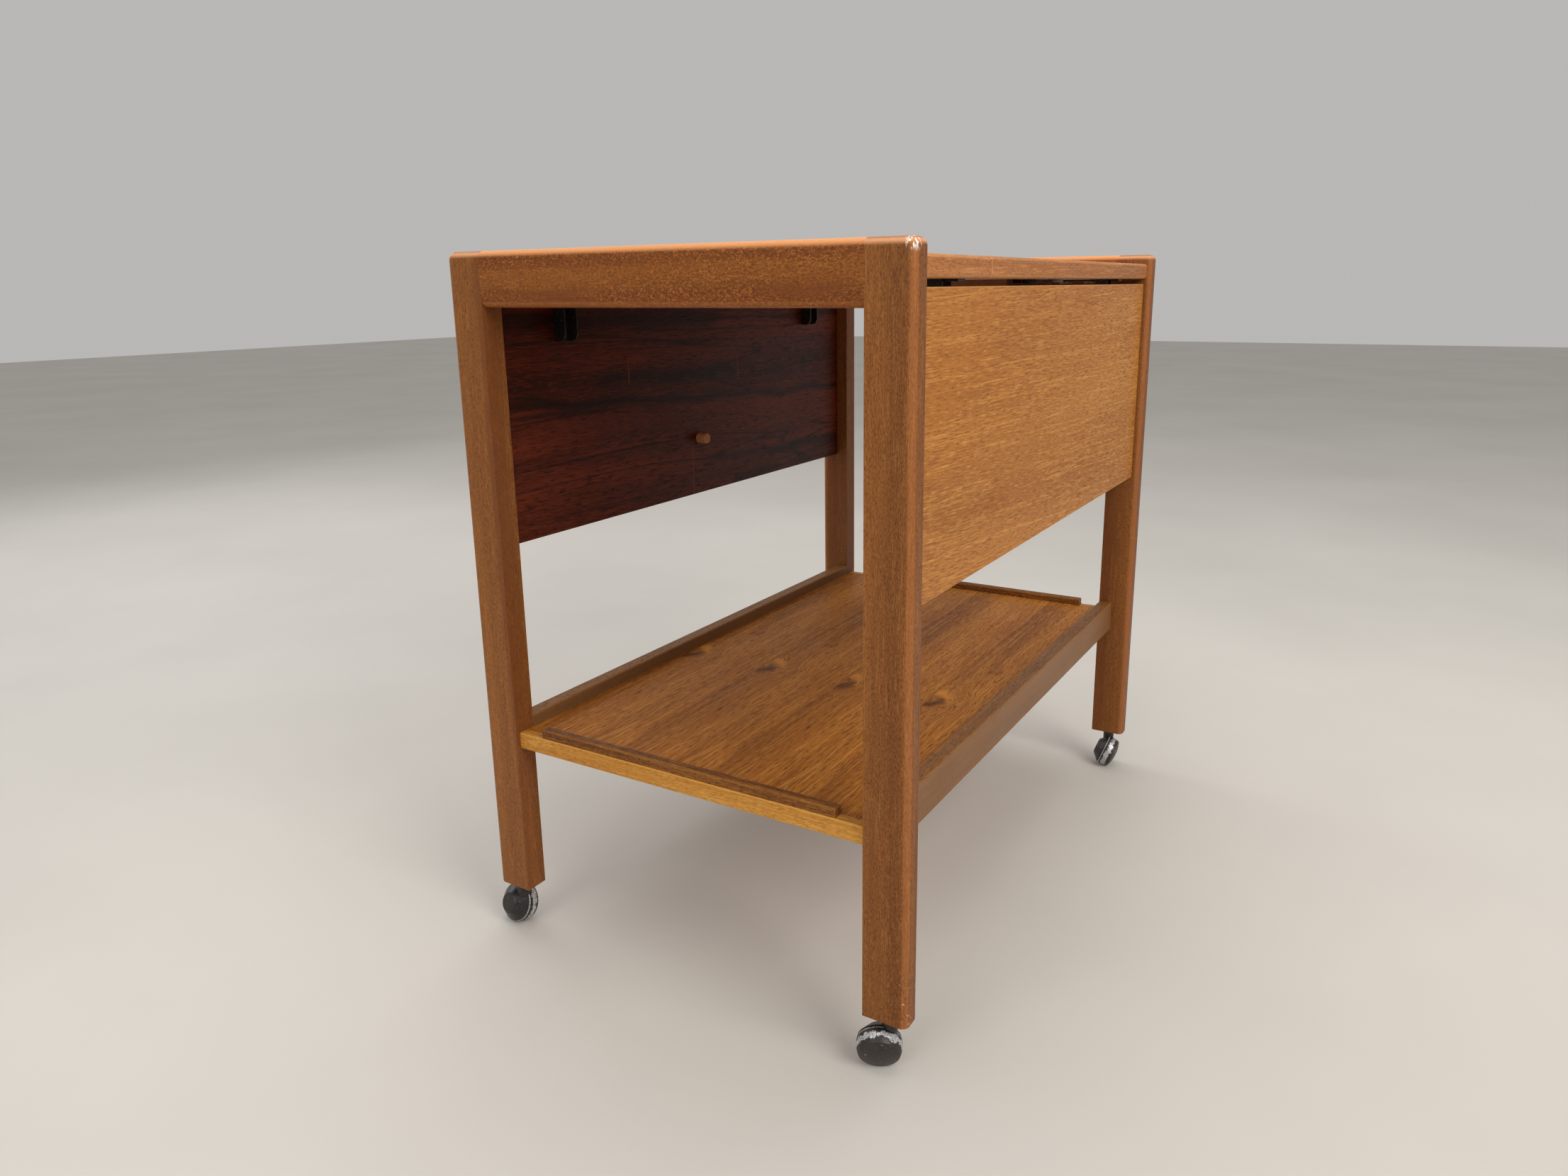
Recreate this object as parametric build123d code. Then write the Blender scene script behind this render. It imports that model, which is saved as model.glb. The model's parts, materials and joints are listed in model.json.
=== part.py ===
from build123d import *
import math
import os

os.makedirs("parts", exist_ok=True)

# Drop-leaf tea trolley.
# Origin: centre of the trolley on the floor. X runs along the trolley, Y across it, +Z is up.
# "near" is the -X end, "far" the +X end, "right" the -Y side and "left" the +Y side.
# Sizes are in millimetres and angles in degrees.

# Frame
LENGTH = 728.0
WIDTH = 480.0
LEG_X = 24.0
LEG_Y = 42.0
LEG_BOTTOM = 49.0
LEG_TOP = 700.0
ROUND = 7.5
TOP_ROUND = 7.2
RAIL_BOTTOM = 649.3
INNER_X = LENGTH / 2 - LEG_X
INNER_Y = WIDTH / 2 - LEG_Y

# Table top
TOP_Z = 688.65
BOARD_T = 18.45
BOARD_Z = TOP_Z - BOARD_T
BOARD_EDGE_Y = 234.0
BOARD_LIPPING = 14.0

# Drop leaves
LEAF_OUT_Y = 231.5
LEAF_T = 18.3
LEAF_IN_Y = LEAF_OUT_Y - LEAF_T
LEAF_Z0 = 416.15
LEAF_Z1 = 664.15
LEAF_X = INNER_X - 2.0
LEAF_LIPPING = 12.0
PEG_D = 13.0
PEG_OUT = 13.0
PEG_Z = 485.0

# Leaf hinges
HINGE_X = 246.0
PIVOT_Y = 221.0
PIVOT_Z = TOP_Z - 10.5
PIN_D = 4.0
PIN_FIT = 0.06
SHEET = 2.0
FLANGE_IN = 8.0
POCKET_HALF = 12.0
POCKET_Y0 = 197.5
POCKET_Y1 = 227.3
POCKET_TOP = TOP_Z - 5.5
PLATE_Y0 = 150.0
PLATE_Y1 = 196.0
PLATE_SCREWS = [(-9.0, 158.0), (9.0, 158.0), (-9.0, 188.0), (9.0, 188.0)]
BRACKET_SCREW_DZ = [-34.0, -55.0]

# Leaf support slides and their guide
SLIDE_X = 15.0
SLIDE_W = 25.0
SLIDE_T = 3.0
SLIDE_GAP = 0.3
SLIDE_TIP_Y = 226.0
SLIDE_LENGTH = 256.0
GUIDE_X = 45.0
GUIDE_Y = 190.0
GUIDE_T = 13.55
GUIDE_SCREWS = [(x, y) for x in (-36.4, 36.4) for y in (-150.0, 0.0, 150.0)]

# Shelf, lower rails and gallery strips
SHELF_Z = 227.0
SHELF_T = 17.2
SHELF_X = LENGTH / 2 - 4.9
SHELF_LIPPING = 10.0
LOWER_T = 17.0
LOWER_Z0 = 201.0
LOWER_Z1 = 240.0
GALLERY_X = LENGTH / 2 - 6.3
GALLERY_W = 10.9
GALLERY_H = 9.0
GALLERY_Y = 168.5

# Hidden dowels: (x, y, z, axis, diameter, half length)
DOWELS = []
for sx in (-1, 1):
    for sy in (-1, 1):
        for z in (662.0, 686.0):
            DOWELS.append((sx * 352.0, sy * INNER_Y, z, "Y", 8.0, 15.0))
        for z in (210.0, 231.0):
            DOWELS.append((sx * INNER_X, sy * 206.5, z, "X", 8.0, 15.0))
        for y in (60.0, 165.0):
            DOWELS.append((sx * INNER_X, sy * y, BOARD_Z + 9.2, "X", 6.0, 14.0))
        for x in (110.0, 290.0):
            DOWELS.append((sx * x, sy * INNER_Y, SHELF_Z - 8.6, "Y", 6.0, 12.0))

# Ball casters
BALL_R = 20.5
AXLE_TILT = 20.0
TRAIL = 9.0
CAP_SHIFT = 1.0
AXLE_D = 6.0
STEM_D = 9.5
COLLAR_D = 14.0
COLLAR_TOP = 47.3
STEM_TOP = 86.0
SOCKET_D = 12.0
SOCKET_TOP = 88.0
RUN_FIT = 0.06
CASTER_X = LENGTH / 2 - LEG_X / 2
CASTER_Y = WIDTH / 2 - LEG_Y / 2
# Casters: (leg end, leg side, axle heading, hand of the trail)
CASTERS = {
    "near_right": (-1, -1, -154.0, 1),
    "near_left": (-1, 1, -7.0, -1),
    "far_right": (1, -1, -87.0, 1),
    "far_left": (1, 1, 64.0, 1),
}


def box(x0, x1, y0, y1, z0, z1):
    """Box between two corners."""
    size = (abs(x1 - x0), abs(y1 - y0), abs(z1 - z0))
    centre = ((x0 + x1) / 2, (y0 + y1) / 2, (z0 + z1) / 2)
    return Pos(*centre) * Box(*size)


def rod(x, y, z, axis, diameter, half):
    """Cylinder centred on a point, along X, Y or Z."""
    turn = {"X": Rot(0, 90, 0), "Y": Rot(90, 0, 0), "Z": Rot(0, 0, 0)}[axis]
    return Pos(x, y, z) * turn * Cylinder(diameter / 2, 2 * half)


def upright(x, y, z0, z1, diameter):
    """Vertical cylinder between two heights."""
    return rod(x, y, (z0 + z1) / 2, "Z", diameter, (z1 - z0) / 2)


def turned(profile_points, arc=None):
    """Solid turned about Z from (radius, height) points, with one optional arc (start, middle, end)."""
    lines = []
    count = len(profile_points)
    for i in range(count):
        start = profile_points[i]
        end = profile_points[(i + 1) % count]
        if arc and start == arc[0] and end == arc[2]:
            lines.append(ThreePointArc(*[(r, 0, z) for r, z in arc]))
        else:
            lines.append(Line((start[0], 0, start[1]), (end[0], 0, end[1])))
    return revolve(make_face(Wire(lines)), Axis.Z)


def long_edges(shape, axis, y_side=None, z_side=None):
    """Edges along an axis, on the lowest or highest y or z side."""
    edges = shape.edges().filter_by(axis)
    if y_side is not None:
        edges = edges.group_by(Axis.Y)[y_side]
    if z_side is not None:
        edges = edges.group_by(Axis.Z)[z_side]
    return edges


def half_turn(shape):
    """The same piece on the opposite side of the trolley."""
    return Rot(0, 0, 180) * shape


def save(name, shape):
    export_step(shape, f"parts/{name}.step")


def cut_dowels(shape):
    """Dowel holes, cut where a dowel passes."""
    limits = shape.bounding_box()
    low, high = limits.min, limits.max
    for x, y, z, axis, diameter, half in DOWELS:
        reach_x = half if axis == "X" else 0
        reach_y = half if axis == "Y" else 0
        inside_x = low.X - reach_x < x < high.X + reach_x
        inside_y = low.Y - reach_y < y < high.Y + reach_y
        if inside_x and inside_y and low.Z < z < high.Z:
            shape -= rod(x, y, z, axis, diameter, half)
    return shape


def leg(sx, sy):
    """Leg with rounded outer corners, a rounded top and a socket hole in the foot."""
    x1 = sx * LENGTH / 2
    y1 = sy * WIDTH / 2
    body = box(x1 - sx * LEG_X, x1, y1 - sy * LEG_Y, y1, LEG_BOTTOM, LEG_TOP)
    outer = -1 if sy > 0 else 0
    body = fillet(body.edges().filter_by(Axis.Z).group_by(Axis.Y)[outer], ROUND)
    top = body.edges().group_by(Axis.Z)[-1].sort_by(Axis.Y)
    top = top[1:] if sy > 0 else top[:-1]
    body = fillet(top, TOP_ROUND)
    body = fillet(body.edges().group_by(Axis.Z)[0], 1.0)
    body -= upright(sx * CASTER_X, sy * CASTER_Y, LEG_BOTTOM - 1, SOCKET_TOP, SOCKET_D)
    return cut_dowels(body)


def end_rail(sx):
    """Top end rail between two legs."""
    x1 = sx * LENGTH / 2
    body = box(x1 - sx * LEG_X, x1, -INNER_Y, INNER_Y, RAIL_BOTTOM, LEG_TOP)
    body = fillet(long_edges(body, Axis.Y, z_side=-1), TOP_ROUND)
    low = long_edges(body, Axis.Y, z_side=0).sort_by(Axis.X)
    body = fillet([low[-1] if sx > 0 else low[0]], ROUND)
    return cut_dowels(body)


def hinge_pockets(shape):
    """Pockets under the table top for the leaf hinges."""
    for sx in (-1, 1):
        x0 = sx * HINGE_X - POCKET_HALF
        x1 = sx * HINGE_X + POCKET_HALF
        for sy in (-1, 1):
            shape -= box(x0, x1, sy * POCKET_Y0, sy * POCKET_Y1, BOARD_Z - 1, POCKET_TOP)
    return shape


def plate_screw_points():
    """Screw positions of the four hinge plates."""
    points = []
    for sx in (-1, 1):
        for sy in (-1, 1):
            for dx, y in PLATE_SCREWS:
                points.append((sx * HINGE_X + dx, sy * y))
    return points


def top_panel():
    """Middle of the table top, between the two lippings."""
    core = BOARD_EDGE_Y - BOARD_LIPPING
    body = box(-INNER_X, INNER_X, -core, core, BOARD_Z, TOP_Z)
    body = hinge_pockets(body)
    for x, y in plate_screw_points():
        body -= upright(x, y, BOARD_Z - 1, 682.0, 3.5)
    for x, y in GUIDE_SCREWS:
        body -= upright(x, y, BOARD_Z - 1, 682.0, 4.0)
    return cut_dowels(body)


def top_lipping():
    """Solid edge strip of the table top on the right side."""
    body = box(-INNER_X, INNER_X, -BOARD_EDGE_Y, BOARD_LIPPING - BOARD_EDGE_Y, BOARD_Z, TOP_Z)
    outer = long_edges(body, Axis.X, y_side=0).sort_by(Axis.Z)
    body = fillet([outer[0]], 4.5)
    outer = long_edges(body, Axis.X, z_side=-1).sort_by(Axis.Y)
    body = fillet([outer[0]], 4.0)
    return hinge_pockets(body)


def shelf_panel():
    """Shelf board between the lower rails."""
    end = SHELF_X - SHELF_LIPPING
    return cut_dowels(box(-end, end, -INNER_Y, INNER_Y, SHELF_Z - SHELF_T, SHELF_Z))


def shelf_lipping():
    """Edge strip of the shelf at the near end."""
    body = box(-SHELF_X, SHELF_LIPPING - SHELF_X, -INNER_Y, INNER_Y, SHELF_Z - SHELF_T, SHELF_Z)
    outer = body.edges().filter_by(Axis.Y).group_by(Axis.X)[0]
    return fillet(outer, 1.5)


def lower_rail():
    """Rail beside the shelf on the right side."""
    body = box(-INNER_X, INNER_X, -INNER_Y - LOWER_T, -INNER_Y, LOWER_Z0, LOWER_Z1)
    body = fillet(body.edges().filter_by(Axis.X), 2.0)
    return cut_dowels(body)


def gallery():
    """Low strip on the near end of the shelf that keeps things from sliding off."""
    body = box(-GALLERY_X, GALLERY_W - GALLERY_X, -GALLERY_Y, GALLERY_Y, SHELF_Z, SHELF_Z + GALLERY_H)
    top = body.edges().group_by(Axis.Z)[-1]
    body = fillet(top.filter_by(Axis.Y), 3.0)
    return fillet(body.edges().filter_by(Axis.Z), 1.2)


def support_guide():
    """Block under the table top with two grooves for the support slides."""
    body = box(-GUIDE_X, GUIDE_X, -GUIDE_Y, GUIDE_Y, BOARD_Z - GUIDE_T, BOARD_Z)
    body = chamfer(body.edges().group_by(Axis.Z)[0], 1.5)
    half = SLIDE_W / 2 + SLIDE_GAP
    floor = BOARD_Z - SLIDE_T - 2 * SLIDE_GAP
    for sx in (-1, 1):
        body -= box(sx * SLIDE_X - half, sx * SLIDE_X + half, -GUIDE_Y, GUIDE_Y, floor, BOARD_Z)
    for x, y in GUIDE_SCREWS:
        body -= upright(x, y, BOARD_Z - GUIDE_T, BOARD_Z, 4.0)
        body -= upright(x, y, BOARD_Z - GUIDE_T, BOARD_Z - GUIDE_T + 3.0, 8.0)
    return body


def support_slide():
    """Flat strip that pulls out under the raised right leaf, with a finger hole near its tip."""
    x0 = SLIDE_X - SLIDE_W / 2
    x1 = SLIDE_X + SLIDE_W / 2
    z1 = BOARD_Z - SLIDE_GAP
    body = box(x0, x1, -SLIDE_TIP_Y, SLIDE_LENGTH - SLIDE_TIP_Y, z1 - SLIDE_T, z1)
    body = fillet(body.edges().filter_by(Axis.Z).group_by(Axis.Y)[0], 8.0)
    body = fillet(body.edges().filter_by(Axis.Z).group_by(Axis.Y)[-1], 2.0)
    return body - upright(SLIDE_X, 17.0 - SLIDE_TIP_Y, z1 - 10, z1 + 10, 14.0)


def hinge_plate():
    """Fixed hinge half of the right leaf: screw plate, tongue and two cheeks."""
    z0 = BOARD_Z - SHEET
    tip = PIVOT_Y + 4.5
    plate = box(-15, 15, -PLATE_Y1, -PLATE_Y0, z0, BOARD_Z)
    plate = fillet(plate.edges().filter_by(Axis.Z), 4.0)
    plate += box(-7.5, 7.5, -tip, -PLATE_Y1 + 1, z0, BOARD_Z)
    for sx in (-1, 1):
        plate += box(sx * 5.9, sx * 7.5, -tip, -PIVOT_Y + 5, z0, PIVOT_Z + 3.5)
    plate -= rod(0, -PIVOT_Y, PIVOT_Z, "X", PIN_D + 2 * PIN_FIT, 12)
    for dx, y in PLATE_SCREWS:
        plate -= upright(dx, -y, z0 - 1, BOARD_Z + 1, 3.5)
    return plate


def flange_outline():
    """Hinge bracket flange, drawn in the YZ plane around the pivot at the origin."""
    points = [(7.8, -64.5), (22, -64.5), (22, -3), (12, 4.5), (0, 4.5)]
    points += [(0, -4.5), (8.3, -4.5), (8.3, -13.5), (7.8, -14.5)]
    outline = make_face(Polyline(*points, close=True))
    corner = outline.vertices().sort_by(Axis.Y)[:2].sort_by(Axis.X)[-1]
    outline = fillet([corner], 8.0)
    outline += Circle(4.5)
    return outline - Circle(PIN_D / 2)


def hinge_bracket():
    """Moving hinge half: a channel screwed to the inner face of the right leaf."""
    plane = Plane(origin=(0, -PIVOT_Y, PIVOT_Z), x_dir=(0, 1, 0), z_dir=(1, 0, 0))
    outline = plane * flange_outline()
    flange = extrude(outline, amount=SHEET)
    body = Pos(FLANGE_IN, 0, 0) * flange
    body += Pos(-FLANGE_IN - SHEET, 0, 0) * flange
    web_y = LEAF_IN_Y - SHEET
    body += box(-FLANGE_IN, FLANGE_IN, -LEAF_IN_Y, -web_y, PIVOT_Z - 64.5, PIVOT_Z - 14.5)
    for dz in BRACKET_SCREW_DZ:
        body -= rod(0, -LEAF_IN_Y, PIVOT_Z + dz, "Y", 3.0, 6)
    return body


def hinge_pins():
    """Two riveted hinge pins of the right leaf."""
    pins = []
    for sx in (-1, 1):
        pin = rod(sx * HINGE_X, -PIVOT_Y, PIVOT_Z, "X", PIN_D, 11)
        for side in (-1, 1):
            x = sx * HINGE_X + side * 10.5
            pin += rod(x, -PIVOT_Y, PIVOT_Z, "X", 7.0, 0.5)
        pins.append(pin)
    return Compound(pins)


def bracket_screws():
    """Slotted screws that hold the two brackets to the right leaf."""
    screws = []
    face = LEAF_IN_Y - SHEET
    for sx in (-1, 1):
        for dz in BRACKET_SCREW_DZ:
            x = sx * HINGE_X
            z = PIVOT_Z + dz
            screw = rod(x, -face + 1.0, z, "Y", 6.0, 1.0)
            screw = fillet(screw.edges().group_by(Axis.Y)[-1], 0.9)
            screw -= Pos(x, 1.8 - face, z) * Rot(0, 25, 0) * Box(8, 0.9, 0.9)
            screw += rod(x, -face - 6.4, z, "Y", 3.0, 6.4)
            screws.append(screw)
    return Compound(screws)


def leaf_panel():
    """Middle of the right drop leaf."""
    z0 = LEAF_Z0 + LEAF_LIPPING
    z1 = LEAF_Z1 - LEAF_LIPPING
    body = box(-LEAF_X, LEAF_X, -LEAF_OUT_Y, -LEAF_IN_Y, z0, z1)
    body = fillet(body.edges().filter_by(Axis.Z), 1.2)
    for sx in (-1, 1):
        for dz in BRACKET_SCREW_DZ:
            body -= rod(sx * HINGE_X, 6 - LEAF_IN_Y - 12.8 + SHEET, PIVOT_Z + dz, "Y", 3.0, 6)
    return body - rod(SLIDE_X, -LEAF_IN_Y, PEG_Z, "Y", 8.0, 10)


def leaf_edge(upper):
    """Edge strip of the right leaf, at its hinged or its free edge."""
    z0 = LEAF_Z1 - LEAF_LIPPING if upper else LEAF_Z0
    body = box(-LEAF_X, LEAF_X, -LEAF_OUT_Y, -LEAF_IN_Y, z0, z0 + LEAF_LIPPING)
    body = fillet(body.edges().filter_by(Axis.Z), 1.2)
    side = -1 if upper else 0
    return fillet(body.edges().group_by(Axis.Z)[side], 1.0)


def peg():
    """Stop peg on the inner face of the right leaf."""
    body = rod(SLIDE_X, -LEAF_IN_Y + PEG_OUT / 2, PEG_Z, "Y", PEG_D, PEG_OUT / 2)
    body = fillet(body.edges().group_by(Axis.Y)[-1], 2.0)
    return body + rod(SLIDE_X, -LEAF_IN_Y - 4.9, PEG_Z, "Y", 8.0, 4.9)


def screws_up(points, head_z, head_d, head_h, shank_d, shank_top):
    """Upright screws with their heads below."""
    screws = []
    for x, y in points:
        screw = upright(x, y, head_z, head_z + head_h, head_d)
        screw = fillet(screw.edges().group_by(Axis.Z)[0], 0.8)
        screw += upright(x, y, head_z + head_h, shank_top, shank_d)
        screws.append(screw)
    return Compound(screws)


def sockets():
    """Flanged sleeves in the feet that hold the caster stems."""
    sleeves = []
    for sx in (-1, 1):
        for sy in (-1, 1):
            x, y = sx * CASTER_X, sy * CASTER_Y
            sleeve = upright(x, y, LEG_BOTTOM, SOCKET_TOP, SOCKET_D)
            sleeve += upright(x, y, LEG_BOTTOM - 1.2, LEG_BOTTOM, 18.0)
            sleeve -= upright(x, y, LEG_BOTTOM - 2, SOCKET_TOP - 1.2, STEM_D + 2 * RUN_FIT)
            sleeves.append(sleeve)
    return Compound(sleeves)


def on_axle(shape):
    """Place a piece turned about Z on the inclined axle of a caster."""
    tilt = math.radians(AXLE_TILT)
    direction = (0, math.cos(tilt), -math.sin(tilt))
    plane = Plane(origin=(TRAIL, CAP_SHIFT, BALL_R), x_dir=(1, 0, 0), z_dir=direction)
    return plane.location * shape


def ball_radius(height):
    return math.sqrt(BALL_R ** 2 - height ** 2)


def caster_hood():
    """Bell-shaped hood with its collar and stem, stem axis at the origin."""
    bell = turned([(0, -16.0), (9.4, -16.0), (10.8, -15.2), (19.6, -6.6), (19.6, -5.2), (0, -5.2)])
    wheel_room = Sphere(BALL_R + 0.7)
    wheel_room -= Pos(0, 0, -30 - 5.2) * Cylinder(40, 60)
    collar = upright(0, 0, 28.0, COLLAR_TOP, COLLAR_D) - on_axle(wheel_room)
    body = on_axle(bell) + collar
    body -= on_axle(Pos(0, 0, -7.0) * Cylinder(16.4, 3.6))
    body += on_axle(Pos(0, 0, -7.0) * Cylinder(6.0, 3.8))
    body += upright(0, 0, COLLAR_TOP - 1, STEM_TOP, STEM_D)
    return body - on_axle(Pos(0, 0, -9.25) * Cylinder(AXLE_D / 2, 9.5))


def caster_axle():
    """Headed axle pin of a caster."""
    body = Pos(0, 0, -4.15) * Cylinder(AXLE_D / 2, 19.7)
    body += Pos(0, 0, 6.7) * Cylinder(5.0, 2.0)
    return on_axle(body)


def caster_wheel():
    """Tread half of the ball, turning on the axle."""
    low, high = -4.4, 8.4
    bore = AXLE_D / 2 + RUN_FIT
    start = (ball_radius(low), low)
    end = (ball_radius(high), high)
    middle = (ball_radius(2.0), 2.0)
    points = [(bore, low), start, end, (6.2, high), (6.2, 5.4), (bore, 5.4)]
    return on_axle(turned(points, (start, middle, end)))


def caster_cap():
    """Shallow domed cap over the wheel and the axle head."""
    start = (18.35, 9.2)
    end = (1.5, 12.8)
    points = [(0, 8.4), (18.65, 8.4), start, end, (0, 12.8)]
    return on_axle(turned(points, (start, (9.8, 11.9), end)))


def place_caster(shape, sx, sy, heading, hand):
    """Turn a caster to its heading and set it under its leg."""
    if hand < 0:
        shape = mirror(shape, about=Plane.YZ)
    return Pos(sx * CASTER_X, sy * CASTER_Y, 0) * Rot(0, 0, heading - 90) * shape


def build():
    for sx, end in ((-1, "near"), (1, "far")):
        for sy, side in ((-1, "right"), (1, "left")):
            save(f"leg_{end}_{side}", leg(sx, sy))
        save(f"end_rail_{end}", end_rail(sx))
    save("top_panel", top_panel())
    save("shelf_panel", shelf_panel())
    save("support_guide", support_guide())
    dowels = [rod(*dowel) for dowel in DOWELS]
    save("frame_dowels", Compound(dowels))
    save("caster_sockets", sockets())
    plate_screws = screws_up(plate_screw_points(), BOARD_Z - 4.0, 7.0, 2.0, 3.5, 682.0)
    save("hinge_plate_screws", plate_screws)
    save("guide_screws", screws_up(GUIDE_SCREWS, BOARD_Z - GUIDE_T, 8.0, 3.0, 4.0, 682.0))
    sided = {
        "top_lipping": top_lipping(),
        "lower_rail": lower_rail(),
        "leaf_panel": leaf_panel(),
        "leaf_hinge_edge": leaf_edge(True),
        "leaf_free_edge": leaf_edge(False),
        "leaf_peg": peg(),
        "hinge_pins": hinge_pins(),
        "bracket_screws": bracket_screws(),
        "support_slide": support_slide(),
    }
    for name, shape in sided.items():
        save(f"{name}_right", shape)
        save(f"{name}_left", half_turn(shape))
    for name, shape in (("shelf_lipping", shelf_lipping()), ("gallery", gallery())):
        save(f"{name}_near", shape)
        save(f"{name}_far", half_turn(shape))
    for name, shape in (("hinge_plate", hinge_plate()), ("hinge_bracket", hinge_bracket())):
        for sx, end, other in ((-1, "near", "far"), (1, "far", "near")):
            placed = Pos(sx * HINGE_X, 0, 0) * shape
            save(f"{name}_{end}_right", placed)
            save(f"{name}_{other}_left", half_turn(placed))
    pieces = (
        ("caster_hood", caster_hood()),
        ("caster_axle", caster_axle()),
        ("caster_wheel", caster_wheel()),
        ("caster_cap", caster_cap()),
    )
    for corner, placing in CASTERS.items():
        for name, shape in pieces:
            save(f"{name}_{corner}", place_caster(shape, *placing))


build()
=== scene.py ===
import json
import math

import bpy
from mathutils import Matrix, Vector

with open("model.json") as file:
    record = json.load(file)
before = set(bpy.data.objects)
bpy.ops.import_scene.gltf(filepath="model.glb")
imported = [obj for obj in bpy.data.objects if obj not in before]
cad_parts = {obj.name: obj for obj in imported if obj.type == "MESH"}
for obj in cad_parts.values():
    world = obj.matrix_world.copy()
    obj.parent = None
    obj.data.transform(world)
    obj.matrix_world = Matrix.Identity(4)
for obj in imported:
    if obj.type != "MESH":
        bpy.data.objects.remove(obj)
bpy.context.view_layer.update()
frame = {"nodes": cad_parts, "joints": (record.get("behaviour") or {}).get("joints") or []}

NODES = frame["nodes"]
JOINTS = {joint["name"]: joint for joint in frame["joints"]}

# Camera: place in metres, angles in degrees, lens in millimetres.
CAMERA_AT = Vector((-1.0725, -0.5675, 0.6651))
CAMERA_HEADING = 59.26
CAMERA_PITCH = -13.80
CAMERA_ROLL = -0.618
CAMERA_LENS = 24.337
CAMERA_SHIFT = (-0.0139, -0.0260)
CAMERA_SENSOR = 36.0
CAMERA_CLIP = (0.02, 60.0)


def colour(red, green, blue):
    """Linear colour from 0-255 display values."""
    values = []
    for value in (red, green, blue):
        level = value / 255
        values.append(level / 12.92 if level <= 0.04045 else ((level + 0.055) / 1.055) ** 2.4)
    return (*values, 1.0)


class Surface:
    """A node material built on the object's own rest coordinates, in metres."""

    def __init__(self, name):
        self.material = bpy.data.materials.new(name)
        self.material.use_nodes = True
        tree = self.material.node_tree
        self.nodes, self.links = tree.nodes, tree.links
        self.nodes.clear()
        self.shader = self.nodes.new("ShaderNodeBsdfPrincipled")
        output = self.nodes.new("ShaderNodeOutputMaterial")
        self.links.new(self.shader.outputs[0], output.inputs[0])
        coordinates = self.nodes.new("ShaderNodeTexCoord")
        self.place = coordinates.outputs["Object"]
        self.normal = coordinates.outputs["Normal"]

    def put(self, socket, value):
        """Link a socket, or set its plain value."""
        if isinstance(value, bpy.types.NodeSocket):
            self.links.new(value, socket)
        else:
            socket.default_value = value

    def math(self, operation, first, second=0.0, clamp=False):
        node = self.nodes.new("ShaderNodeMath")
        node.operation = operation
        node.use_clamp = clamp
        self.put(node.inputs[0], first)
        self.put(node.inputs[1], second)
        return node.outputs[0]

    def apart(self, first, second):
        """Distance between two values."""
        return self.math("ABSOLUTE", self.math("SUBTRACT", first, second))

    def linear(self, value, slope, start):
        """A value times a slope, plus a start."""
        result = self.math("MULTIPLY_ADD", value, slope)
        result.node.inputs[2].default_value = start
        return result

    def combine(self, x, y, z):
        node = self.nodes.new("ShaderNodeCombineXYZ")
        for socket, value in zip(node.inputs, (x, y, z)):
            self.put(socket, value)
        return node.outputs[0]

    def vector(self, operation, first, second=(0, 0, 0)):
        node = self.nodes.new("ShaderNodeVectorMath")
        node.operation = operation
        self.put(node.inputs[0], first)
        self.put(node.inputs[1], second)
        index = 1 if operation in ("DOT_PRODUCT", "LENGTH") else 0
        return node.outputs[index]

    def scaled(self, vector, scale, offset=(0, 0, 0)):
        node = self.nodes.new("ShaderNodeMapping")
        self.put(node.inputs["Vector"], vector)
        node.inputs["Scale"].default_value = scale
        node.inputs["Location"].default_value = offset
        return node.outputs[0]

    def noise(self, vector, detail=3.0, roughness=0.55, distortion=0.0, as_colour=False):
        node = self.nodes.new("ShaderNodeTexNoise")
        self.put(node.inputs["Vector"], vector)
        node.inputs["Scale"].default_value = 1.0
        node.inputs["Detail"].default_value = detail
        node.inputs["Roughness"].default_value = roughness
        node.inputs["Distortion"].default_value = distortion
        return node.outputs[1 if as_colour else 0]

    def steps(self, value, low, high):
        """0 at low and 1 at high, smooth between; high may be below low."""
        node = self.nodes.new("ShaderNodeMapRange")
        node.interpolation_type = "SMOOTHSTEP"
        self.put(node.inputs["Value"], value)
        node.inputs["From Min"].default_value = min(low, high)
        node.inputs["From Max"].default_value = max(low, high)
        node.inputs["To Min"].default_value = 0.0 if low < high else 1.0
        node.inputs["To Max"].default_value = 1.0 if low < high else 0.0
        return node.outputs[0]

    def between(self, value, low, high, fade):
        """1 between two values, 0 outside them, with a fade just inside each."""
        return self.times(self.steps(value, low, low + fade), self.steps(value, high, high - fade))

    def mix(self, factor, first, second):
        node = self.nodes.new("ShaderNodeMix")
        node.data_type = "RGBA"
        self.put(node.inputs[0], factor)
        self.put(node.inputs[6], first)
        self.put(node.inputs[7], second)
        return node.outputs[2]

    def over(self, base, tone, mask, amount=1.0):
        """The base colour with a tone laid over it where the mask is 1."""
        return self.mix(self.times(mask, amount), base, tone)

    def ramp(self, value, stops):
        node = self.nodes.new("ShaderNodeValToRGB")
        self.put(node.inputs[0], value)
        elements = node.color_ramp.elements
        while len(elements) < len(stops):
            elements.new(0.5)
        for element, (position, tone) in zip(elements, stops):
            element.position = position
            element.color = tone
        return node.outputs[0]

    def times(self, *values):
        product = values[0]
        for value in values[1:]:
            product = self.math("MULTIPLY", product, value)
        return product

    def part(self, vector, axis):
        node = self.nodes.new("ShaderNodeSeparateXYZ")
        self.put(node.inputs[0], vector)
        return node.outputs[axis]

    def bump(self, height, distance):
        node = self.nodes.new("ShaderNodeBump")
        node.inputs["Strength"].default_value = 1.0
        node.inputs["Distance"].default_value = distance
        self.put(node.inputs["Height"], height)
        return node.outputs[0]

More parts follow.
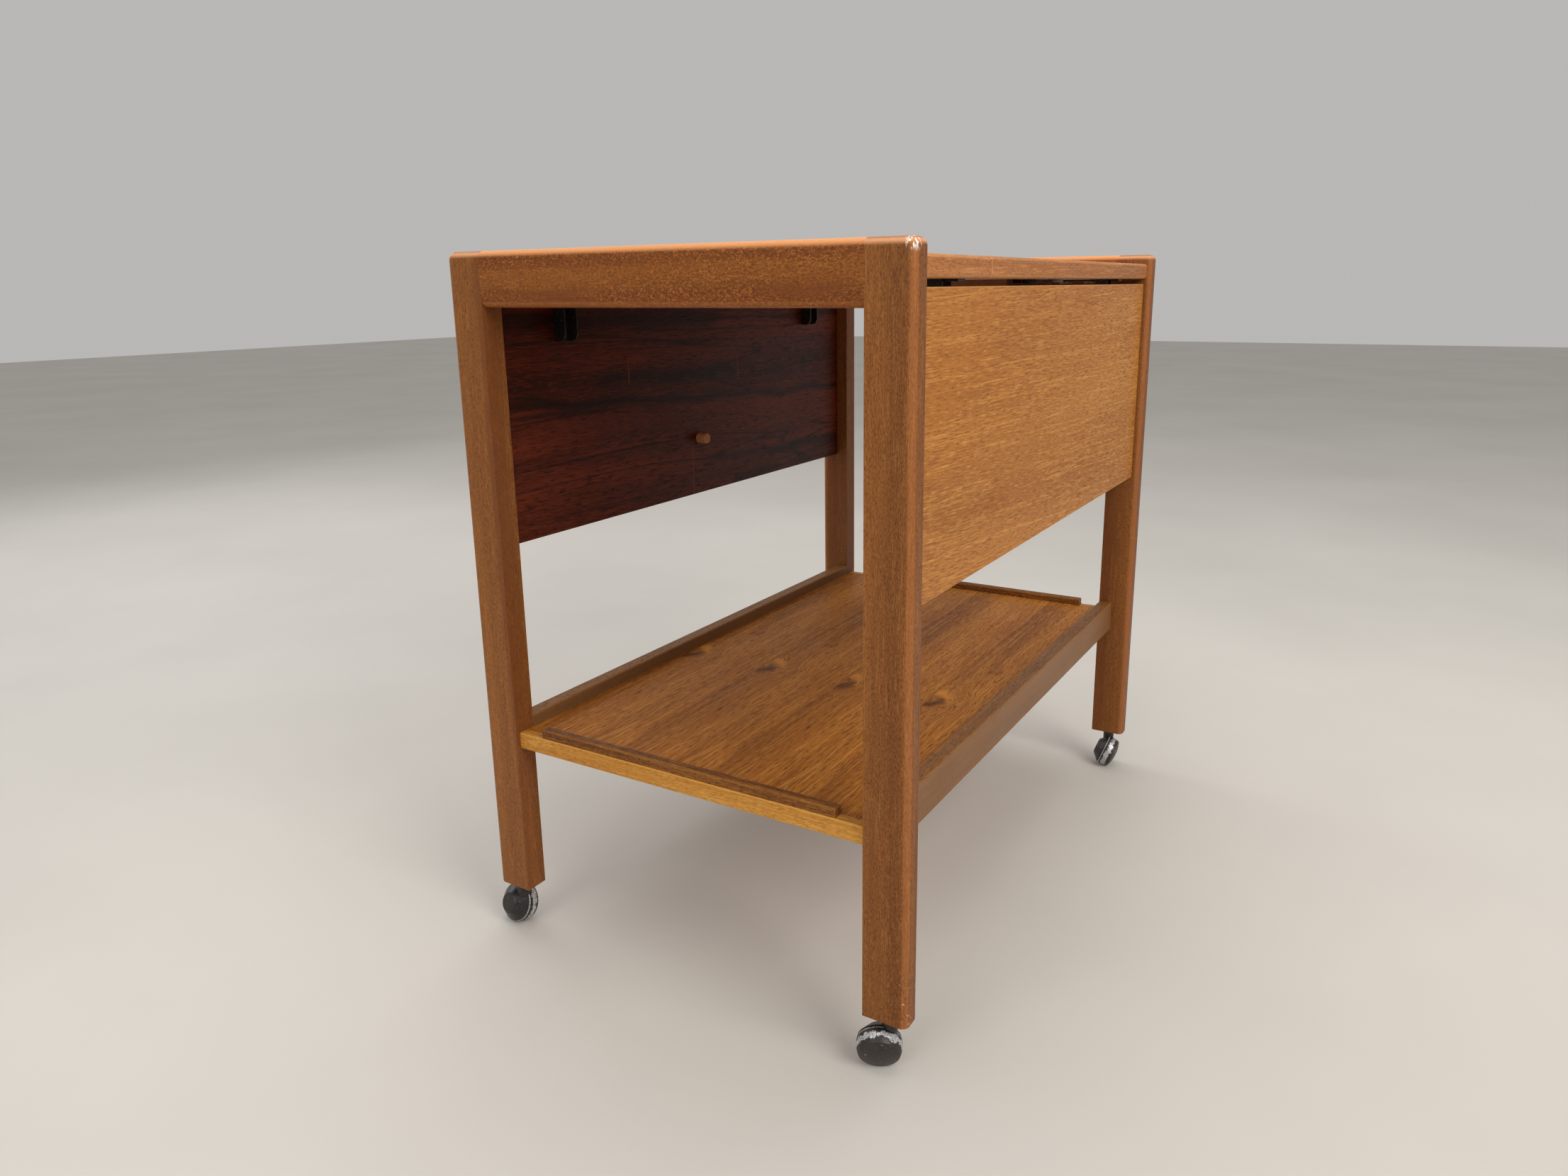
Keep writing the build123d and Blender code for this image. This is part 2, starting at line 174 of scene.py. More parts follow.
    def near(self, point, radius, stretch=(1, 1, 1)):
        """1 close to a point and 0 beyond a radius."""
        offset = self.vector("SUBTRACT", self.place, point)
        offset = self.vector("MULTIPLY", offset, stretch)
        return self.steps(self.vector("LENGTH", offset), radius, 0.0)

    def finish(self, base, roughness, normal=None, metallic=0.0):
        self.put(self.shader.inputs["Base Color"], base)
        self.put(self.shader.inputs["Roughness"], roughness)
        self.put(self.shader.inputs["Metallic"], metallic)
        if normal is not None:
            self.put(self.shader.inputs["Normal"], normal)
        return self.material


# Specular level of every wood, and the tint that each one's colour is multiplied by.
WOOD_GLOSS = 0.18
STAINS = {
    "legs": (1.14, 1.12, 1.20),
    "rails": (1.16, 1.02, 0.86),
    "top": (1.32, 1.32, 1.12),
    "shelf": (0.84, 0.75, 0.60),
    "leaf_outer": (0.97, 0.92, 0.72),
    "leaf_inner": (1.28, 0.90, 0.66),
    "top_edge": (1.0, 1.0, 1.0),
    "shelf_edge": (0.95, 0.94, 0.84),
    "gallery": (0.72, 0.66, 0.54),
    "lower_rail": (0.66, 0.70, 0.71),
    "plain": (1.0, 1.0, 1.0),
}
TEAK_TONES = (colour(104, 61, 26), colour(126, 77, 34), colour(144, 91, 42))
TEAK_LINES = (colour(84, 46, 19), colour(168, 112, 56))
TEAK_PORE = colour(70, 37, 15)

# Marks on the wood, and the painted glint at the near right leg's top corner: places and sizes in metres.
GLINT_CORNER = (-0.3605, -0.2365, 0.6965)
GLINT_CORNER_SIZE = 0.009
SCUFFED_FOOT = (-0.3615, -0.2380, 0.078)
SCUFFED_FOOT_SIZE = 0.040
SHELF_SPOT = (-0.265, 0.146, 0.227)
SHELF_SPOT_SIZE = 0.009
EDGE_SCRATCH_X = -0.200

AXES = {"X": 0, "Y": 1, "Z": 2}


def stretched(grain, along, across):
    """Texture scale for one grain direction: cycles per metre along and across it."""
    scale = [across, across, across]
    scale[AXES[grain]] = along
    return tuple(scale)


def bend_lines(surface, place, grain, amount, seed):
    """A place pushed sideways a little, so that the grain wanders."""
    drift_place = surface.scaled(place, stretched(grain, 2.2, 7.0), (seed, seed, seed))
    drift = surface.noise(drift_place, detail=2.0, roughness=0.5, as_colour=True)
    drift = surface.vector("SUBTRACT", drift, (0.5, 0.5, 0.5))
    push = [amount, amount, amount]
    push[AXES[grain]] = 0.0
    return surface.vector("ADD", place, surface.vector("MULTIPLY", drift, tuple(push)))


def facing(surface, axis, low=0.72, high=0.92):
    """1 where the surface faces along an axis, either way."""
    value = surface.math("ABSOLUTE", surface.part(surface.normal, axis))
    return surface.steps(value, low, high)


def rounding(surface):
    """1 on edges rounded towards the top, 0 on flat faces."""
    size = surface.vector("ABSOLUTE", surface.normal)
    largest = surface.math("MAXIMUM", surface.part(size, 0), surface.part(size, 1))
    largest = surface.math("MAXIMUM", largest, surface.part(size, 2))
    return surface.steps(largest, 0.995, 0.90)


def timber(surface, grain, tones, lines, pore, place=None, figure=(1.2, 16.0), wander=0.012,
           line_scale=(4.0, 130.0), line_amount=0.5, line_width=0.05, pore_scale=(220.0, 2000.0),
           pore_amount=0.5, seed=0.0):
    """Colour, pore mask and line mask of one wood.

    tones are the dark, middle and light of its broad figure, lines its dark and light thin streaks.
    """
    place = place or surface.place
    bent = bend_lines(surface, place, grain, wander, seed)
    shift = (seed, 2 * seed, 3 * seed)
    tone = surface.noise(surface.scaled(bent, stretched(grain, *figure), shift), detail=4.0)
    base = surface.ramp(tone, [(0.30, tones[0]), (0.50, tones[1]), (0.70, tones[2])])
    fibre_scale = stretched(grain, line_scale[0] * 9.0, line_scale[1] * 7.0)
    fibre = surface.noise(surface.scaled(bent, fibre_scale, shift), detail=3.0, roughness=0.6)
    base = surface.over(base, lines[0], surface.steps(fibre, 0.50, 0.30), line_amount)
    line_place = surface.scaled(bent, stretched(grain, *line_scale), shift)
    line = surface.noise(line_place, detail=3.0, roughness=0.6)
    ridge = surface.steps(surface.apart(line, 0.5), line_width, 0.0)
    broken = surface.steps(fibre, 0.36, 0.58)
    light = surface.times(ridge, broken, line_amount)
    base = surface.over(base, lines[1], light)
    pore_place = surface.scaled(bent, stretched(grain, *pore_scale), shift)
    grainy = surface.noise(pore_place, detail=2.0, roughness=0.6)
    pores = surface.steps(grainy, 0.53, 0.66)
    flecks = surface.steps(grainy, 0.45, 0.32)
    base = surface.over(base, pore, pores, pore_amount)
    base = surface.over(base, lines[1], flecks, pore_amount * 0.6)
    return base, pores, light


def wood_finish(surface, base, pores, line, stain, roughness=0.42, depth=0.00018):
    """Satin oiled surface, tinted by a stain; pores are rougher and lower than the wood round them."""
    base = surface.vector("MULTIPLY", base, stain)
    smear = surface.noise(surface.scaled(surface.place, (9, 9, 9)), detail=4.0)
    rough = surface.linear(smear, 0.18, roughness - 0.09)
    rough = surface.math("ADD", rough, surface.times(pores, 0.14), clamp=True)
    height = surface.math("SUBTRACT", surface.times(line, 0.6), pores)
    surface.shader.inputs["Specular IOR Level"].default_value = WOOD_GLOSS
    return surface.finish(base, rough, surface.bump(height, depth))


def solid_teak(name, grain, seed, curl=0.0, glint_point=None, scuff_point=None):
    """Legs and rails: finely speckled teak, with painted highlights on the upward-facing top edges and
    along the rounded edges, and a painted glint at one top corner when its point is given.
    """
    surface = Surface(name)
    base, pores, line = timber(
        surface, grain, TEAK_TONES, TEAK_LINES, TEAK_PORE, figure=(0.9, 26.0), wander=0.010,
        line_scale=(7.0, 150.0), line_amount=0.35, line_width=0.035, pore_scale=(360.0, 1300.0),
        pore_amount=0.55, seed=seed,
    )
    band_place = surface.scaled(surface.place, stretched(grain, 0.5, 30.0), (seed, 1, 2))
    band = surface.noise(band_place, detail=1.0)
    base = surface.over(base, colour(106, 58, 28), surface.steps(band, 0.50, 0.58), 0.5)
    stain = STAINS["rails" if curl else "legs"]
    if curl:
        ripple_place = surface.scaled(surface.place, stretched(grain, 400.0, 580.0))
        ripple = surface.noise(ripple_place, detail=2.0, distortion=1.0)
        patch_place = surface.scaled(surface.place, stretched(grain, 7.0, 26.0), (2, 2, 2))
        patch = surface.noise(patch_place, detail=2.0)
        curl = surface.times(surface.steps(patch, 0.22, 0.50), curl)
        base = surface.over(base, colour(74, 37, 13), surface.steps(ripple, 0.50, 0.62), curl)
        base = surface.over(base, colour(190, 126, 62), surface.steps(ripple, 0.48, 0.36), curl)
    # Painted highlight: faces turned upwards are lightened towards pale orange, fully from a slope of about
    # 45 degrees.
    top = surface.steps(surface.part(surface.normal, 2), 0.10, 0.70)
    base = surface.over(base, colour(226, 168, 118), top, 0.88)
    if grain == "Z":
        across = surface.noise(surface.scaled(surface.place, (1100, 1100, 60)), detail=3.0)
        end = surface.ramp(across, [(0.35, colour(112, 62, 36)), (0.65, colour(166, 104, 64))])
        base = surface.over(base, end, facing(surface, 2, 0.6, 0.95), 0.85)
    # Painted highlight along the rounded edges.
    base = surface.over(base, colour(176, 112, 64), rounding(surface), 0.30)
    # Painted glint: near-white streaks on the top corner of the near right leg, where its point is given.
    if glint_point is not None:
        streak = surface.noise(surface.scaled(surface.place, (560, 560, 150)), detail=2.0)
        corner = surface.near(glint_point, GLINT_CORNER_SIZE)
        glint_streaks = surface.times(corner, surface.steps(streak, 0.50, 0.58))
        glint_streaks = surface.math("MULTIPLY", glint_streaks, 1.6, clamp=True)
        base = surface.over(base, colour(240, 228, 212), glint_streaks)
    if scuff_point is not None:
        wear_and_highlight = surface.near(scuff_point, SCUFFED_FOOT_SIZE, (1.6, 1.6, 1.0))
        dent = surface.noise(surface.scaled(surface.place, (260, 260, 200)), detail=3.0, distortion=1.0)
        wear_and_highlight = surface.steps(wear_and_highlight, 0.15, 0.5)
        crack = surface.times(surface.steps(surface.apart(dent, 0.5), 0.022, 0.0), wear_and_highlight)
        chip = surface.times(surface.steps(dent, 0.66, 0.70), wear_and_highlight)
        base = surface.over(base, colour(52, 26, 12), crack, 0.8)
        base = surface.over(base, colour(206, 164, 120), chip)
    return wood_finish(surface, base, pores, line, stain, depth=0.00012)


def veneer(name, seed):
    """Table top: straight golden teak veneer."""
    surface = Surface(name)
    tones = (colour(164, 98, 40), colour(186, 116, 48), colour(200, 132, 60))
    lines = (colour(140, 82, 32), colour(222, 160, 84))
    base, pores, line = timber(
        surface, "X", tones, lines, colour(120, 70, 28), figure=(0.8, 11.0), wander=0.02,
        line_scale=(1.6, 110.0), line_amount=0.7, pore_scale=(60.0, 700.0), pore_amount=0.55, seed=seed,
    )
    return wood_finish(surface, base, pores, line, STAINS["top"], roughness=0.36, depth=0.00010)


# Shelf veneer: sheets of one width laid side by side, each with the same swirl. The start, in
# widths, places the seams; the step shifts the figure along from sheet to sheet.
VENEER_WIDTH = 0.1075
VENEER_START = 1.19
VENEER_STEP = 0.004
SWIRL_X = -0.072
SWIRL_Y = 0.087
SWIRL_SIZE = 0.030


def shelf_wood(name):
    """Shelf: slip-matched teak veneer, so that its swirl repeats across the shelf."""
    surface = Surface(name)
    x, y, z = (surface.part(surface.place, axis) for axis in range(3))
    start = VENEER_WIDTH * VENEER_START
    count = surface.math("DIVIDE", surface.math("ADD", y, start), VENEER_WIDTH)
    sheet = surface.math("FLOOR", count)
    local = surface.times(surface.math("FRACT", count), VENEER_WIDTH)
    home = (SWIRL_Y + start) % VENEER_WIDTH
    dx = surface.math("SUBTRACT", x, SWIRL_X)
    dy = surface.math("SUBTRACT", local, home)
    wobble = surface.noise(surface.scaled(surface.place, (60, 90, 1)), detail=3.0)
    wobble = surface.times(surface.math("SUBTRACT", wobble, 0.5), SWIRL_SIZE * 1.7)
    bent = surface.math("ADD", dy, surface.times(wobble, 0.5))
    length = surface.vector("LENGTH", surface.combine(surface.times(dx, 0.8), bent, wobble))
    fade = surface.steps(length, SWIRL_SIZE * 1.9, 0.0)
    pull = surface.math("SUBTRACT", 1.0, surface.times(fade, 0.72))
    local = surface.math("ADD", surface.times(dy, pull), surface.times(wobble, fade, 0.6))
    local = surface.math("ADD", local, home)
    near_side = surface.steps(dx, SWIRL_SIZE * 0.8, -SWIRL_SIZE * 0.2)
    far_side = surface.steps(dx, -SWIRL_SIZE * 0.1, SWIRL_SIZE * 0.5)
    heart = surface.steps(surface.apart(length, SWIRL_SIZE * 0.42), SWIRL_SIZE * 0.34, 0.0)
    arc = surface.steps(surface.apart(length, SWIRL_SIZE * 0.62), SWIRL_SIZE * 0.30, 0.0)
    shade = surface.times(heart, near_side)
    glow = surface.times(arc, far_side)
    pattern = surface.combine(surface.math("ADD", x, surface.times(sheet, VENEER_STEP)), local, z)
    tones = (colour(140, 84, 28), colour(176, 112, 42), colour(200, 134, 56))
    lines = (colour(106, 60, 18), colour(224, 164, 80))
    base, pores, line = timber(
        surface, "X", tones, lines, colour(92, 50, 18), place=pattern, figure=(1.1, 15.0), wander=0.016,
        line_scale=(2.0, 120.0), line_amount=0.6, pore_scale=(80.0, 750.0), pore_amount=0.55, seed=4.0,
    )
    streak_place = surface.scaled(pattern, (1.6, 21.0, 1.0), (3.3, 1.7, 0.0))
    streak = surface.noise(streak_place, detail=4.0, distortion=0.6)
    base = surface.over(base, colour(88, 44, 14), surface.steps(streak, 0.54, 0.72), 0.45)
    base = surface.over(base, colour(74, 34, 12), shade, 0.80)
    base = surface.over(base, colour(232, 160, 70), glow, 0.70)
    base = surface.over(base, colour(92, 70, 52), surface.near(SHELF_SPOT, SHELF_SPOT_SIZE), 0.5)
    seam = surface.steps(surface.apart(surface.math("FRACT", count), 0.5), 0.4965, 0.4995)
    base = surface.over(base, colour(80, 42, 16), seam, 0.3)
    return wood_finish(surface, base, pores, line, STAINS["shelf"], roughness=0.50, depth=0.00012)


# Leaf grain: how fast it fans out along the leaf, and the height it fans out from.
LEAF_FAN = 0.42
LEAF_FAN_Z = 0.590
# Dark bands of the inner leaf face: height at the middle, slope, half width and both ends along the leaf.
LEAF_BANDS = (
    (0.536, 0.045, 0.010, -0.36, 0.36),
    (0.566, 0.010, 0.014, -0.09, 0.22),
    (0.455, 0.030, 0.012, -0.36, 0.02),
    (0.632, 0.020, 0.020, -0.05, 0.36),
)
LEAF_BAND_FADE = 0.04
# Hairline seams of the inner leaf face: place along the leaf, and lowest and highest points.
LEAF_SEAMS = ((0.029, 0.406, 0.482), (-0.073, 0.548, 0.589), (0.143, 0.558, 0.592))
LEAF_SEAM_FADE = 0.008


def leaf_wood(name, outward):
    """Drop leaf: golden outer face with a slightly fanned grain, dark wavy inner face, and a painted
    highlight on the rounded edges of the outer side.
    """
    surface = Surface(name)
    x, y, z = (surface.part(surface.place, axis) for axis in range(3))
    x = surface.times(x, -outward)
    spread = surface.math("ADD", surface.times(x, LEAF_FAN), 1.0)
    fanned = surface.math("DIVIDE", surface.math("SUBTRACT", z, LEAF_FAN_Z), spread)
    pattern = surface.combine(x, y, fanned)
    tones = (colour(158, 98, 38), colour(172, 111, 48), colour(184, 124, 58))
    lines = (colour(134, 80, 30), colour(222, 166, 96))
    outer, pores, line = timber(
        surface, "X", tones, lines, colour(132, 80, 32), place=pattern, figure=(1.0, 13.0), wander=0.004,
        line_scale=(1.6, 105.0), line_amount=0.42, line_width=0.035, pore_scale=(75.0, 760.0),
        pore_amount=0.75, seed=2.0,
    )
    warm = surface.noise(surface.scaled(pattern, (2.2, 1.0, 5.0), (1.0, 0.0, 2.0)), detail=3.0)
    outer = surface.over(outer, colour(160, 94, 40), surface.steps(warm, 0.48, 0.70), 0.30)
    tones = (colour(40, 15, 8), colour(72, 30, 16), colour(104, 48, 24))
    lines = (colour(32, 12, 7), colour(108, 52, 28))
    inner_place = surface.combine(x, y, z)
    inner, inner_pores, inner_line = timber(
        surface, "X", tones, lines, colour(38, 16, 10), place=inner_place, figure=(1.3, 19.0), wander=0.030,
        line_scale=(2.5, 60.0), line_amount=0.35, pore_scale=(70.0, 620.0), pore_amount=0.75, seed=7.0,
    )
    wave_place = surface.scaled(inner_place, (1.3, 0.0, 19.0), (0.4, 0.0, 6.6))
    wave = surface.apart(surface.noise(wave_place, detail=2.0, distortion=1.0), 0.5)
    inner = surface.over(inner, colour(24, 10, 7), surface.steps(wave, 0.034, 0.0), 0.70)
    for start, slope, half, left, right in LEAF_BANDS:
        line_z = surface.linear(x, slope, start)
        sway = surface.noise(surface.scaled(inner_place, (7.0, 0.0, 3.0), (start, 0.0, start)), detail=2.0)
        sway = surface.times(surface.math("SUBTRACT", sway, 0.5), 0.030)
        away = surface.apart(surface.math("ADD", z, sway), line_z)
        span = surface.between(x, left, right, LEAF_BAND_FADE)
        band = surface.times(surface.steps(away, half, 0.0), span)
        inner = surface.over(inner, colour(22, 9, 6), band, 0.75)
    for seam_x, low, high in LEAF_SEAMS:
        seam = surface.steps(surface.apart(x, seam_x), 0.0012, 0.0003)
        seam = surface.times(seam, surface.between(z, low, high, LEAF_SEAM_FADE))
        inner = surface.over(inner, colour(118, 66, 42), seam, 0.6)
    inside = surface.steps(surface.times(surface.part(surface.normal, 1), outward), 0.3, -0.3)
    outer = surface.vector("MULTIPLY", outer, STAINS["leaf_outer"])
    inner = surface.vector("MULTIPLY", inner, STAINS["leaf_inner"])
    base = surface.mix(inside, outer, inner)
    pores = surface.math("MAXIMUM", surface.times(pores, 0.7), surface.times(inner_pores, inside))
    line = surface.math("MAXIMUM", line, surface.times(inner_line, inside))
    # Painted highlight along the rounded edges of the outer side.
    wear_and_highlight = surface.times(rounding(surface), 0.6, surface.steps(inside, 1.0, 0.0))
    base = surface.over(base, colour(214, 160, 100), wear_and_highlight)
    base = surface.over(base, colour(164, 104, 52), facing(surface, 2, 0.7, 0.95), 0.7)
    return wood_finish(surface, base, pores, line, STAINS["plain"], roughness=0.40, depth=0.00012)


def edge_wood(name, stain, grain, tones, lines, pore, amount, seed, scratch=None):
    """Solid edge strips and gallery strips."""
    surface = Surface(name)
    base, pores, line = timber(
        surface, grain, tones, lines, pore, figure=(1.6, 30.0), wander=0.008,
        line_scale=(6.0, 150.0), line_amount=0.45, pore_scale=(200.0, 850.0), pore_amount=amount, seed=seed,
    )
    # Painted highlight along the rounded edges.
    base = surface.over(base, lines[1], rounding(surface), 0.30)
    across = surface.noise(surface.scaled(surface.place, (900, 900, 900)), detail=3.0)
    end = surface.ramp(across, [(0.35, tones[0]), (0.65, lines[1])])
    base = surface.over(base, end, facing(surface, AXES[grain]), 0.6)
    if scratch is not None:
        across = surface.apart(surface.part(surface.place, 0), scratch)
        base = surface.over(base, colour(224, 176, 120), surface.steps(across, 0.0009, 0.0002), 0.5)
    return wood_finish(surface, base, pores, line, stain, depth=0.00010)


def lower_rail_wood(name):
    """Side rail: speckled golden top; the side faces painted a plain tan, their own smooth tone with a
    painted sheen of the floor reflected in them, and a painted highlight along the rounded edges.
    """
    surface = Surface(name)
    tones = (colour(128, 80, 38), colour(154, 98, 48), colour(174, 114, 58))
    lines = (colour(104, 60, 28), colour(196, 138, 78))
    base, pores, line = timber(
        surface, "X", tones, lines, TEAK_PORE, figure=(1.2, 40.0), wander=0.006,
        line_scale=(7.0, 150.0), line_amount=0.4, pore_scale=(200.0, 850.0), pore_amount=0.5, seed=3.0,
    )
    # Side faces: a plain tan laid over the grain, partly the wood's smooth face and partly a painted
    # reflection of the floor.
    side = facing(surface, 1, 0.75, 0.95)
    cloud = surface.noise(surface.scaled(surface.place, (5, 9, 40)), detail=4.0)
    plain = surface.ramp(cloud, [(0.3, colour(146, 100, 64)), (0.7, colour(164, 116, 76))])
    base = surface.over(base, plain, side, 0.70)
    # Painted highlight along the rounded edges.
    base = surface.over(base, colour(190, 132, 76), rounding(surface), 0.25)
    pores = surface.times(pores, surface.steps(side, 1.0, 0.2))
    return wood_finish(surface, base, pores, line, STAINS["lower_rail"], depth=0.00010)


def plain_wood(name, light, dark, grain):
    """Peg, guide block and dowels."""
    surface = Surface(name)
    base, pores, line = timber(
        surface, grain, (dark, light, light), (dark, light), dark,
        line_scale=(12.0, 300.0), line_amount=0.4, pore_scale=(240.0, 1600.0), seed=9.0,
    )
    return wood_finish(surface, base, pores, line, STAINS["plain"], roughness=0.5)


def metal(name, tone, dirt, roughness, metallic=1.0, scale=90.0, wear=None):
    """Plated or lacquered steel with faint dirt and scratches, bright where it is worn."""
    surface = Surface(name)
    cloud = surface.noise(surface.scaled(surface.place, (scale, scale, scale)), detail=5.0, roughness=0.65)
    base = surface.over(tone, dirt, surface.steps(cloud, 0.42, 0.68), 0.7)
    scratch = surface.noise(surface.scaled(surface.place, (2600, 240, 700)), detail=2.0)
    if wear is not None:
        base = surface.over(base, wear, surface.steps(scratch, 0.66, 0.72), 0.6)
    rough = surface.linear(cloud, 0.3, roughness - 0.15)
    height = surface.math("ADD", scratch, cloud)
    return surface.finish(base, rough, surface.bump(height, 0.00004), metallic=metallic)


def axle_of(corner):
    """Ball centre and axle direction of one caster."""
    joint = JOINTS[f"roll_{corner}"]
    return tuple(joint["pos_m"]), tuple(joint["axis"])


# Enamel on a caster tread, in metres along the axle: how far its edge wanders, where it begins
# and is full towards the hood and towards the cap, and where the bare rim begins and is bare.
ENAMEL_RAGGED = 0.016
ENAMEL_HOOD_SIDE = (0.0004, -0.0008)
ENAMEL_CAP_SIDE = (0.0044, 0.0056)
BARE_RIM = (-0.0030, -0.0038)


def caster_tread(corner):
    """Worn bright tread with patches of brown enamel left towards the hood."""
    centre, axle = axle_of(corner)
    surface = Surface(f"caster_tread_{corner}")
    along = surface.vector("DOT_PRODUCT", surface.vector("SUBTRACT", surface.place, centre), axle)
    patch = surface.noise(surface.scaled(surface.place, (130, 130, 130)), detail=6.0, roughness=0.7)
    level = surface.math("ADD", along, surface.times(surface.math("SUBTRACT", patch, 0.5), ENAMEL_RAGGED))
    hood_side = surface.steps(level, *ENAMEL_HOOD_SIDE)
    cap_side = surface.steps(level, *ENAMEL_CAP_SIDE)
    rim = surface.steps(along, *BARE_RIM)
    painted = surface.math("MAXIMUM", hood_side, cap_side)
    painted = surface.times(painted, surface.steps(rim, 1.0, 0.0))
    fine = surface.noise(surface.scaled(surface.place, (900, 900, 900)), detail=4.0)
    steel = surface.ramp(fine, [(0.35, colour(120, 120, 122)), (0.60, colour(226, 228, 232))])
    enamel = surface.ramp(patch, [(0.35, colour(26, 21, 19)), (0.7, colour(52, 43, 38))])
    base = surface.mix(painted, steel, enamel)
    metallic = surface.times(surface.steps(painted, 1.0, 0.0), 0.7)
    rough = surface.linear(fine, 0.4, 0.26)
    height = surface.math("ADD", painted, surface.times(fine, 0.2))
    return surface.finish(base, rough, surface.bump(height, 0.00012), metallic=metallic)


def caster_enamel(name, dark, light):
    """Dark brown enamel with a dusty bloom and small chips."""
    surface = Surface(name)
    cloud = surface.noise(surface.scaled(surface.place, (55, 55, 55)), detail=5.0, roughness=0.6)
    base = surface.ramp(cloud, [(0.32, dark), (0.68, light)])
    chip = surface.noise(surface.scaled(surface.place, (420, 420, 420)), detail=4.0)
    base = surface.over(base, colour(150, 140, 130), surface.steps(chip, 0.66, 0.70), 0.7)
    rough = surface.linear(cloud, 0.25, 0.26)
    height = surface.math("ADD", cloud, surface.times(chip, 0.3))
    return surface.finish(base, rough, surface.bump(height, 0.00006))


def paint(material, *prefixes):
    """Give a material to every CAD node whose name starts with one of the prefixes."""
    for name, node in NODES.items():
        if name.startswith(prefixes):
            node.data.materials.clear()
            node.data.materials.append(material)


def materials():
    paint(solid_teak("teak_legs", "Z", 1.0, glint_point=GLINT_CORNER, scuff_point=SCUFFED_FOOT), "leg_")
    paint(solid_teak("teak_end_rails", "Y", 5.0, curl=0.42), "end_rail")
    paint(veneer("teak_table_top", 6.0), "top_panel")
    tan = (colour(138, 84, 42), colour(164, 102, 52), colour(184, 120, 66))
    tan_lines = (colour(116, 66, 30), colour(208, 146, 88))
    top_edge = edge_wood(
        "teak_top_edge", STAINS["top_edge"], "X", tan, tan_lines, TEAK_PORE, 0.35, 8.0,
        scratch=EDGE_SCRATCH_X,
    )
    paint(top_edge, "top_lipping")
    paint(shelf_wood("teak_shelf"), "shelf_panel")
    gold = (colour(170, 108, 42), colour(196, 134, 56), colour(212, 152, 72))
    gold_lines = (colour(146, 88, 34), colour(232, 180, 98))
    gold_pore = colour(130, 78, 30)
    shelf_edge = edge_wood(
        "teak_shelf_edge", STAINS["shelf_edge"], "Y", gold, gold_lines, gold_pore, 0.4, 11.0,
    )
    paint(shelf_edge, "shelf_lipping")
    dark = (colour(104, 60, 24), colour(138, 86, 38), colour(166, 108, 50))
    dark_lines = (colour(76, 40, 16), colour(194, 136, 68))
    dark_pore = colour(64, 32, 14)
    gallery = edge_wood("teak_gallery", STAINS["gallery"], "Y", dark, dark_lines, dark_pore, 0.6, 13.0)
    paint(gallery, "gallery")
    paint(lower_rail_wood("teak_lower_rail"), "lower_rail")
    for side, outward in (("right", -1.0), ("left", 1.0)):
        names = (f"leaf_panel_{side}", f"leaf_hinge_edge_{side}", f"leaf_free_edge_{side}")
        paint(leaf_wood(f"teak_leaf_{side}", outward), *names)
    paint(plain_wood("peg_wood", colour(190, 128, 84), colour(120, 74, 44), "Y"), "leaf_peg")
    guide = plain_wood("guide_wood", colour(150, 100, 60), colour(104, 64, 36), "Y")
    paint(guide, "support_guide", "frame_dowels")
    paint(metal("slide_steel", colour(96, 92, 88), colour(58, 52, 46), 0.42), "support_slide")
    black = metal(
        "hinge_black", colour(22, 20, 19), colour(40, 34, 30), 0.42, metallic=0.2,
        wear=colour(120, 112, 104),
    )
    paint(black, "hinge_plate_near", "hinge_plate_far", "hinge_bracket")
    screws = metal("screw_steel", colour(150, 138, 118), colour(90, 76, 60), 0.35, scale=400.0)
    paint(screws, "hinge_plate_screws", "guide_screws", "bracket_screws", "hinge_pins")
    plated = metal("caster_steel", colour(120, 112, 102), colour(70, 60, 52), 0.38)
    paint(plated, "caster_axle", "caster_sockets")
    paint(caster_enamel("caster_hood_enamel", colour(18, 15, 14), colour(40, 33, 30)), "caster_hood")
    paint(caster_enamel("caster_cap_enamel", colour(28, 22, 20), colour(50, 40, 36)), "caster_cap")
    for corner in ("near_right", "near_left", "far_right", "far_left"):
        paint(caster_tread(corner), f"caster_wheel_{corner}")


def camera():
    """Camera at the photograph's viewing angle."""
    heading = math.radians(CAMERA_HEADING)
    pitch = math.radians(CAMERA_PITCH)
    roll = math.radians(CAMERA_ROLL)
    forward = Vector((
        math.sin(heading) * math.cos(pitch),
        math.cos(heading) * math.cos(pitch),
        math.sin(pitch),
    ))
    level = forward.cross(Vector((0, 0, 1))).normalized()
    above = level.cross(forward)
    right = level * math.cos(roll) + above * math.sin(roll)
    up = above * math.cos(roll) - level * math.sin(roll)
    data = bpy.data.cameras.new("camera")
    data.sensor_width = CAMERA_SENSOR
    data.lens = CAMERA_LENS
    data.shift_x, data.shift_y = CAMERA_SHIFT
    data.clip_start, data.clip_end = CAMERA_CLIP
    view = bpy.data.objects.new("camera", data)
    turn = Matrix((right, up, -forward)).transposed().to_4x4()
    view.matrix_world = Matrix.Translation(CAMERA_AT) @ turn
    bpy.context.scene.collection.objects.link(view)
    bpy.context.scene.camera = view


